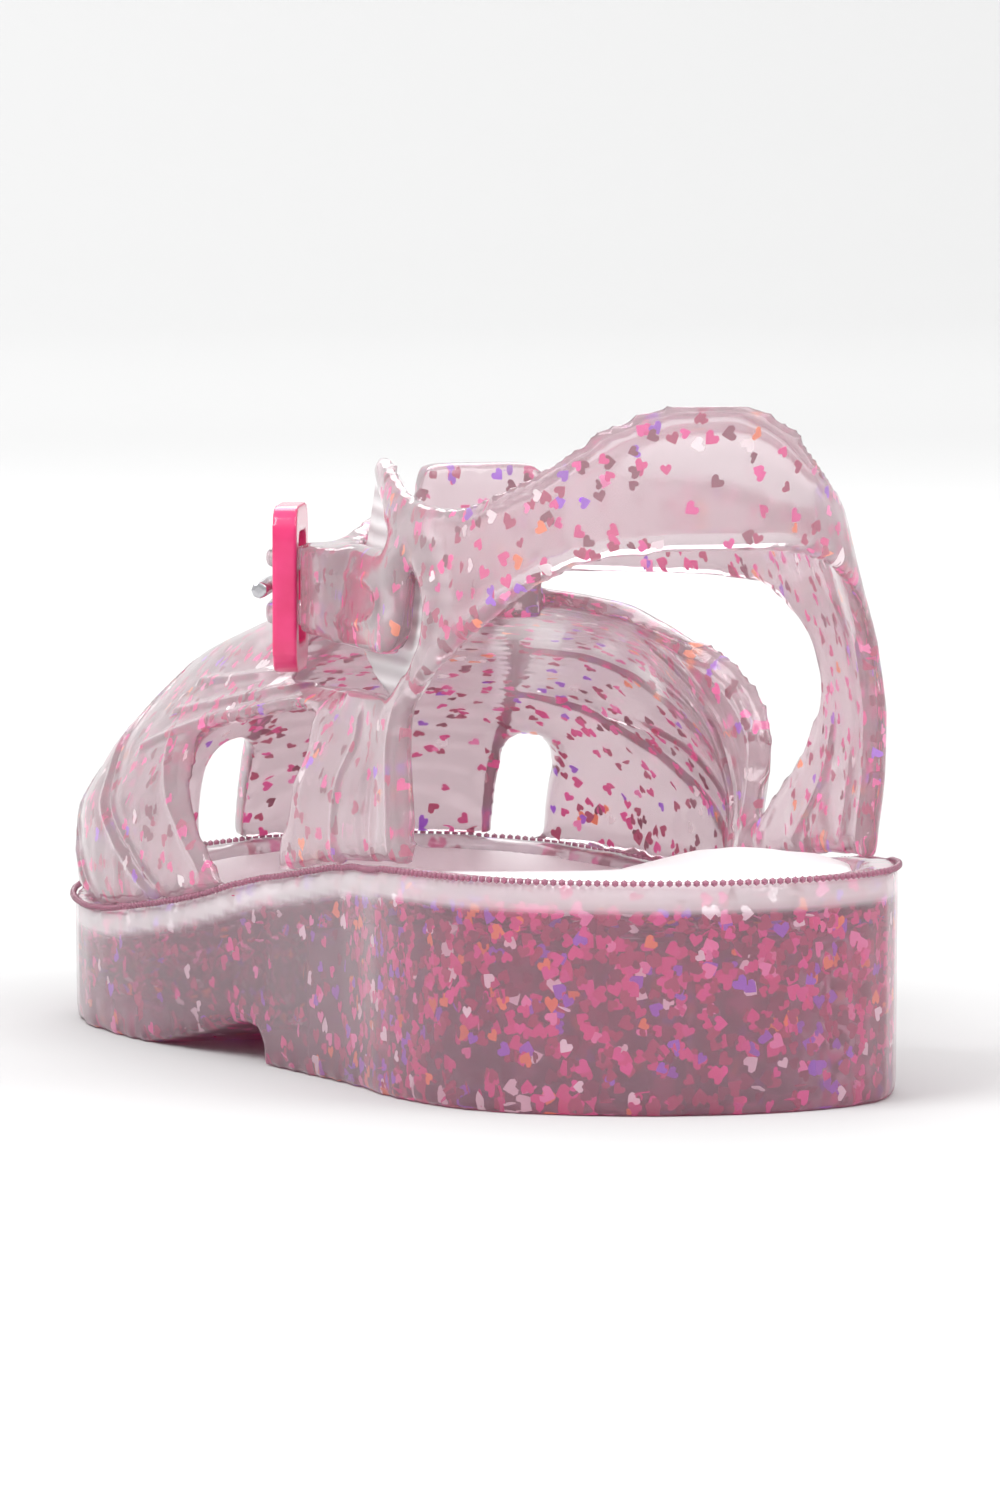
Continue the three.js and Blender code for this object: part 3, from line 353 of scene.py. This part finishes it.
# Upper: the clear straps, legs, band, T-bar and ankle strap, one moulding about 2 mm thick. The mould
# gives it soft edges and raised cords along the strips, which catch the light as thin bright lines.
# Each line holds shares of the sole length and of the height of the heel band, seen from the side.
RIDGES = [
    {"side": 1, "face": "inner", "line": [
        (0.419, 0.34), (0.415, 0.375), (0.409, 0.415), (0.411, 0.46), (0.423, 0.503),
        (0.441, 0.541), (0.466, 0.578), (0.503, 0.612),
    ]},
    {"side": 1, "face": "outer", "line": [
        (0.425, 0.34), (0.421, 0.375), (0.415, 0.415), (0.417, 0.46), (0.43, 0.5), (0.449, 0.535),
        (0.474, 0.57), (0.51, 0.6),
    ]},
    {"side": 1, "face": "inner", "line": [
        (0.445, 0.33), (0.441, 0.38), (0.443, 0.43), (0.455, 0.48), (0.48, 0.52), (0.52, 0.555),
        (0.57, 0.585),
    ]},
    {"side": 1, "face": "inner", "line": [
        (0.458, 0.33), (0.455, 0.38), (0.458, 0.43), (0.471, 0.475), (0.497, 0.51), (0.54, 0.542),
        (0.6, 0.57),
    ]},
    {"side": 1, "face": "inner", "line": [
        (0.56, 0.25), (0.565, 0.35), (0.58, 0.42), (0.615, 0.47), (0.67, 0.51),
    ]},
    {"side": 1, "face": "inner", "line": [
        (0.575, 0.25), (0.58, 0.34), (0.597, 0.405), (0.635, 0.455), (0.69, 0.49),
    ]},
    {"side": 1, "face": "inner", "line": [
        (0.7, 0.22), (0.71, 0.3), (0.73, 0.36), (0.77, 0.41), (0.82, 0.44),
    ]},
    {"side": 1, "face": "inner", "line": [
        (0.255, 0.5), (0.268, 0.44), (0.29, 0.39), (0.326, 0.325),
    ]},
    {"side": 1, "face": "inner", "line": [
        (0.3, 0.5), (0.325, 0.44), (0.36, 0.38), (0.39, 0.315),
    ]},
    {"side": 1, "face": "inner", "line": [
        (0.145, 0.34), (0.149, 0.45), (0.15, 0.56), (0.145, 0.64),
    ]},
    {"side": -1, "face": "outer", "line": [
        (0.476, 0.28), (0.496, 0.315), (0.522, 0.365), (0.55, 0.41), (0.57, 0.46),
    ]},
    {"side": -1, "face": "outer", "line": [
        (0.36, 0.53), (0.414, 0.525), (0.457, 0.509), (0.51, 0.49), (0.56, 0.465), (0.62, 0.43),
    ]},
    {"side": -1, "face": "outer", "line": [
        (0.405, 0.552), (0.449, 0.538), (0.492, 0.522), (0.542, 0.504), (0.6, 0.485),
    ]},
    {"side": -1, "face": "outer", "line": [
        (0.4, 0.575), (0.45, 0.565), (0.5, 0.553), (0.55, 0.54), (0.6, 0.53),
    ]},
    {"side": -1, "face": "outer", "line": [
        (0.545, 0.21), (0.61, 0.285), (0.646, 0.33), (0.692, 0.41), (0.735, 0.49), (0.77, 0.57),
    ]},
    {"side": -1, "face": "outer", "line": [
        (0.515, 0.21), (0.58, 0.285), (0.617, 0.33), (0.664, 0.41), (0.705, 0.49), (0.74, 0.57),
    ]},
    {"side": -1, "face": "outer", "line": [
        (0.672, 0.17), (0.73, 0.25), (0.785, 0.335), (0.835, 0.42), (0.88, 0.5),
    ]},
    {"side": -1, "face": "outer", "line": [
        (0.64, 0.17), (0.7, 0.255), (0.755, 0.345), (0.81, 0.43), (0.86, 0.51),
    ]},
    {"side": -1, "face": "outer", "line": [
        (0.371, 0.29), (0.357, 0.35), (0.35, 0.42), (0.36, 0.48), (0.382, 0.53),
    ]},
    {"side": -1, "face": "outer", "line": [
        (0.168, 0.34), (0.176, 0.42), (0.183, 0.5), (0.175, 0.55),
    ]},
    {"side": -1, "face": "outer", "line": [
        (0.27, 0.29), (0.266, 0.38), (0.262, 0.46), (0.258, 0.53),
    ]},
    {"side": -1, "face": "outer", "line": [
        (0.35, 0.718), (0.28, 0.722), (0.238, 0.712), (0.222, 0.69), (0.238, 0.668), (0.28, 0.657),
        (0.35, 0.655),
    ]},
]
band_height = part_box("upper")[1].z
ridge_height = 0.34 * mm
ridge_half_width = 0.5 * mm
ridge_step = 0.3 * mm
ridge_spread = 2.2
least_rise = 0.005 * mm
inner_step = 0.3 * mm
across_middle = -2 * mm
far_off = 1.0
same_face = 0.5


def smooth_line(rows, step):
    """Points about one step apart on a smooth curve through the rows."""
    rows = [np.array(row) for row in rows]
    rows = [2 * rows[0] - rows[1]] + rows + [2 * rows[-1] - rows[-2]]
    found = []
    for before, start, end, after in zip(rows, rows[1:], rows[2:], rows[3:]):
        pieces = max(2, int(np.linalg.norm(end - start) / step))
        for i in range(pieces):
            t = i / pieces
            bend = (2 * start, end - before, 2 * before - 5 * start + 4 * end - after,
                    3 * start - before - 3 * end + after)
            found.append(0.5 * (bend[0] + bend[1] * t + bend[2] * t * t + bend[3] * t ** 3))
    return found


def ridge_places(walls):
    """Places of the ridges on the skin, found by rays from the side, and the skin's normals there."""
    places, normals = [], []
    for row in RIDGES:
        line = [(sole_low.y + a * sole_length, h * band_height) for a, h in row["line"]]
        inward = Vector((-row["side"], 0, 0))
        for y, z in smooth_line(line, ridge_step):
            spot, normal = walls.ray_cast(Vector((row["side"] * ray_reach, y, z)), inward)[:2]
            if spot is not None and row["face"] == "inner":
                spot, normal = walls.ray_cast(spot + inward * inner_step, inward)[:2]
            if spot is not None and spot.x * row["side"] > across_middle:
                places.append(spot)
                normals.append(normal)
    return places, normals


def raise_ridges(bm):
    """Fine cords of the mould: the mesh is divided along them, and rises along its own normals."""
    bm.normal_update()
    places, normals = ridge_places(BVHTree.FromBMesh(bm))
    tree = KDTree(len(places))
    for i, place in enumerate(places):
        tree.insert(place, i)
    tree.balance()

    def distance(vertex):
        _, index, gap = tree.find(vertex.co)
        return gap if vertex.normal.dot(normals[index]) > same_face else far_off

    near = {vertex for vertex in bm.verts if distance(vertex) < ridge_spread * ridge_half_width}
    edges = [edge for edge in bm.edges if edge.verts[0] in near and edge.verts[1] in near]
    bmesh.ops.subdivide_edges(bm, edges=edges, cuts=1, use_grid_fill=True)
    bm.normal_update()
    for vertex in bm.verts:
        rise = ridge_height * math.exp(-(distance(vertex) / ridge_half_width) ** 2)
        if rise > least_rise:
            vertex.co += vertex.normal * rise


clear_jelly = jelly("moulded_clear_pvc", tint="#f0e2e6", depth_tint="#c08a9c", density=50.0, rough=0.11,
                    milk=0.22)
upper_shape = moulded("upper", voxel=0.625 * mm, rounds=4, skin_rounds=20, last_rounds=3)
raise_ridges(upper_shape)
upper = put(upper_shape, "upper_jelly", clear_jelly)
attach(upper, "root")
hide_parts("upper")

# Closure pad: a thin white plate with fine level ribs, welded inside the outer quarter. It shows as a
# white edge round the free end of the ankle strap.
pad_plastic, tree = new_material("ribbed_white_pvc")
place = add_node(tree, "ShaderNodeTexCoord")
rib_pitch = 0.9 * mm
wave_bands = 20
ribs = add_node(tree, "ShaderNodeTexWave", {
    "wave_type": "BANDS",
    "bands_direction": "Z",
    "Scale": math.pi / (wave_bands * rib_pitch),
    "Distortion": 0.4,
}, {"Vector": place.outputs["Object"]})
rib_bump = add_node(tree, "ShaderNodeBump", {"Strength": 0.6, "Distance": 0.3 * mm},
                    {"Height": ribs.outputs[0]})
# Each rib's colour follows its own height, as the bump does: painted shade in the grooves, lighter crests.
rib_painted_shade = two_tone(tree, ribs.outputs[0], "#cfcacc", "#e9e6e7")
pad_surface = add_node(tree, "ShaderNodeBsdfPrincipled", {"Roughness": 0.5, "Specular IOR Level": 0.4},
                       {"Base Color": rib_painted_shade.outputs[0], "Normal": rib_bump.outputs[0]})
add_node(tree, "ShaderNodeOutputMaterial", links={"Surface": pad_surface.outputs[0]})
pad = put(moulded("closure_pad", voxel=0.3 * mm, rounds=4), "closure_pad_ribbed", pad_plastic)
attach(pad, "root")
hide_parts("closure_pad")

# Buckle: a die-cast flat frame in thick hot pink enamel, its edges softened by the coat. It sits on the
# outer side of the ankle strap.
enamel, tree = new_material("hot_pink_enamel")
flow = object_noise(tree, 420.0, 2.0)
flow_bump = add_node(tree, "ShaderNodeBump", {"Strength": 0.1, "Distance": 0.2 * mm},
                     {"Height": flow.outputs[0]})
coat_shade = two_tone(tree, flow.outputs[0], "#d8145f", "#ee3a80")
enamel_surface = add_node(tree, "ShaderNodeBsdfPrincipled", {
    "Roughness": 0.28,
    "Coat Weight": 0.8,
    "Coat Roughness": 0.08,
}, {"Base Color": coat_shade.outputs[0], "Normal": flow_bump.outputs[0]})
add_node(tree, "ShaderNodeOutputMaterial", links={"Surface": enamel_surface.outputs[0]})
buckle = put(moulded("buckle_frame", voxel=0.22 * mm, rounds=5), "buckle_enamel", enamel)
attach(buckle, "root")
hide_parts("buckle_frame")

# Prong: a small wire of plated steel across the frame of the buckle, hooked over its front bar. Handling
# has dulled the plating a little and unevenly.
steel, tree = new_material("plated_steel")
wear = object_noise(tree, 900.0, 3.0)
wear_gloss = add_node(tree, "ShaderNodeMapRange", {"To Min": 0.14, "To Max": 0.34},
                      {"Value": wear.outputs[0]})
steel_surface = add_node(tree, "ShaderNodeBsdfPrincipled", {
    "Base Color": linear("#c9c8cc"),
    "Metallic": 1.0,
}, {"Roughness": wear_gloss.outputs[0]})
add_node(tree, "ShaderNodeOutputMaterial", links={"Surface": steel_surface.outputs[0]})
prong = put(moulded("buckle_prong", voxel=0.2 * mm, rounds=3), "buckle_prong_plated", steel)
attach(prong, "root")
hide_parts("buckle_prong")

# Flakes: thin heart-shaped foil flakes stirred into the PVC before moulding, so they lie at all depths
# and mostly along the skin. Most are magenta in light and dark tones, some violet; the orange and white
# ones are painted glints. Every flake also glows a little in its own colour: a painted glow for the
# glints that foil gathers in clear PVC.
HEART = [(0, -1.0), (0.5, -0.5), (0.95, 0.05), (0.9, 0.58), (0.48, 0.82), (0, 0.45),
         (-0.48, 0.82), (-0.9, 0.58), (-0.95, 0.05), (-0.5, -0.5)]
flake_thickness = 0.06 * mm
flake_spread = (0.75, 1.15)
flake_lean = 0.35
skin_cover = 0.25 * mm
start_step = 0.02 * mm
side_room = 1.05
tries_each = 6


def scatter_flakes(name, host, count, half_width, deepest, seed, keep):
    """Hearts inside the wall of a host mesh, each clear of the skin, as one mesh with a tint for each."""
    chance = np.random.default_rng(seed)
    source = bmesh.new()
    source.from_mesh(host.data)
    bmesh.ops.triangulate(source, faces=source.faces)
    walls = BVHTree.FromBMesh(source)
    areas = np.array([face.calc_area() for face in source.faces])
    source.faces.ensure_lookup_table()
    drawn = chance.choice(len(areas), size=count * tries_each, p=areas / areas.sum())
    outline = np.array(HEART)
    corners = len(outline)
    points, faces, tints = [], [], []
    placed = 0
    for index in drawn:
        if placed == count:
            break
        face = source.faces[index]
        normal = face.normal
        spot = face.calc_center_median()
        size = half_width * chance.uniform(*flake_spread)
        depth = chance.uniform(skin_cover, deepest)
        tint = chance.random()
        turn = chance.uniform(0, 2 * math.pi)
        tilt = chance.normal(0, flake_lean, 2)
        centre = spot - normal * depth
        if not keep(spot, normal, chance.random()):
            continue
        reach = walls.ray_cast(spot - normal * start_step, -normal)[3]
        if reach is None or reach < depth + skin_cover:
            continue
        facing = (normal + Vector((tilt[0], tilt[1], tilt[0] * tilt[1]))).normalized()
        across = facing.orthogonal().normalized()
        across = Matrix.Rotation(turn, 3, facing) @ across
        up = facing.cross(across)
        ends = [across, -across, up, -up]
        gaps = [walls.ray_cast(centre, end)[3] for end in ends]
        if any(gap is not None and gap < size * side_room for gap in gaps):
            continue
        flat = np.outer(outline[:, 0] * size, across) + np.outer(outline[:, 1] * size, up)
        flat = flat + np.array(centre)
        half = np.array(facing) * flake_thickness / 2
        base = len(points) * 2 * corners
        points.append(np.concatenate([flat + half, flat - half]))
        ring = list(range(corners))
        faces.append([base + k for k in ring])
        faces.append([base + corners + k for k in reversed(ring)])
        for k in ring:
            after = (k + 1) % corners
            faces.append([base + k, base + corners + k, base + corners + after, base + after])
        tints.extend([tint] * (2 * corners))
        placed += 1
    source.free()
    mesh = bpy.data.meshes.new(name)
    mesh.from_pydata(np.concatenate(points).tolist(), [], faces)
    attribute = mesh.attributes.new("tint", "FLOAT", "POINT")
    attribute.data.foreach_set("value", tints)
    piece = bpy.data.objects.new(name, mesh)
    scene.collection.objects.link(piece)
    return piece


foil, tree = new_material("heart_foil_painted_glow")
tint = add_node(tree, "ShaderNodeAttribute", {"attribute_name": "tint"})
shades = add_node(tree, "ShaderNodeValToRGB", links={"Fac": tint.outputs["Fac"]})
shades.color_ramp.interpolation = "CONSTANT"
# The orange and white stops are painted glints; the magenta and violet stops are the flakes' own colours.
FOIL_TINTS_AND_PAINTED_GLINTS = [(0.0, "#b00058"), (0.26, "#e4108a"), (0.48, "#80003e"), (0.66, "#f02ea0"), (0.8, "#a048e8"),
         (0.87, "#ff8ac8"), (0.92, "#ff8a48"), (0.955, "#ffffff")]
ramp = shades.color_ramp
ramp.elements[0].position, ramp.elements[0].color = FOIL_TINTS_AND_PAINTED_GLINTS[0][0], linear(FOIL_TINTS_AND_PAINTED_GLINTS[0][1])
ramp.elements[1].position, ramp.elements[1].color = FOIL_TINTS_AND_PAINTED_GLINTS[-1][0], linear(FOIL_TINTS_AND_PAINTED_GLINTS[-1][1])
for position, colour in FOIL_TINTS_AND_PAINTED_GLINTS[1:-1]:
    ramp.elements.new(position).color = linear(colour)
# Emission Strength makes each flake glow in its ramp colour: a painted glow, not lamp light.
foil_surface = add_node(tree, "ShaderNodeBsdfPrincipled", {
    "Metallic": 0.3,
    "Roughness": 0.26,
    "Emission Strength": 0.4,
}, {"Base Color": shades.outputs[0], "Emission Color": shades.outputs[0]})
add_node(tree, "ShaderNodeOutputMaterial", links={"Surface": foil_surface.outputs[0]})

heel_end = sole_low.y + 0.25 * sole_length
level_face = 0.6
level_share = 0.2
strip_share = 0.12
side_share = 0.16
low_heel_share = 0.35


def sole_share(spot, normal, draw):
    """Flakes lie thick high in the heel, thin along the sides, and are few in the strip under the rim."""
    if abs(normal.z) > level_face:
        return draw < level_share
    if under_rim(spot) < strip_depth:
        return draw < strip_share
    return draw < (low_heel_share + spot.z / sole_high.z if spot.y < heel_end else side_share)


def everywhere(spot, normal, draw):
    """Flakes lie alike all over."""
    return True


upper_flakes = scatter_flakes("upper_flakes", upper, count=2100, half_width=0.68 * mm,
                              deepest=0.95 * mm, seed=11, keep=everywhere)
sole_flakes = scatter_flakes("sole_flakes", outsole, count=5000, half_width=0.76 * mm,
                             deepest=2.6 * mm, seed=23, keep=sole_share)
for flakes, slot_name in ((upper_flakes, "clear_jelly"), (sole_flakes, "sole_jelly")):
    flakes.data.materials.append(foil)
    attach(flakes, "root")

# Rim line: a fine beaded cord moulded along the upper edge of the sole, a shade darker than the wall.
# Its beads lie end to end along the points that the rays found.
bead_pitch = 0.85 * mm
bead_radius = 0.36 * mm
lengths = [0.0]
for start, end in zip(rim, rim[1:] + rim[:1]):
    lengths.append(lengths[-1] + (end - start).length)
bead_count = int(lengths[-1] / bead_pitch)
beads = bmesh.new()
for i in range(bead_count):
    run = lengths[-1] * i / bead_count
    k = int(np.searchsorted(lengths, run, side="right")) - 1
    share = (run - lengths[k]) / (lengths[k + 1] - lengths[k])
    spot = rim[k].lerp(rim[(k + 1) % len(rim)], share)
    made = bmesh.ops.create_icosphere(beads, subdivisions=1, radius=bead_radius)
    bmesh.ops.translate(beads, verts=made["verts"], vec=spot)
rim_jelly = jelly("beaded_rim_pvc", tint="#c08098", depth_tint="#a04070", density=200.0, rough=0.15,
                  milk=0.4)
rim_line = put(beads, "rim_beads", rim_jelly)
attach(rim_line, "root")
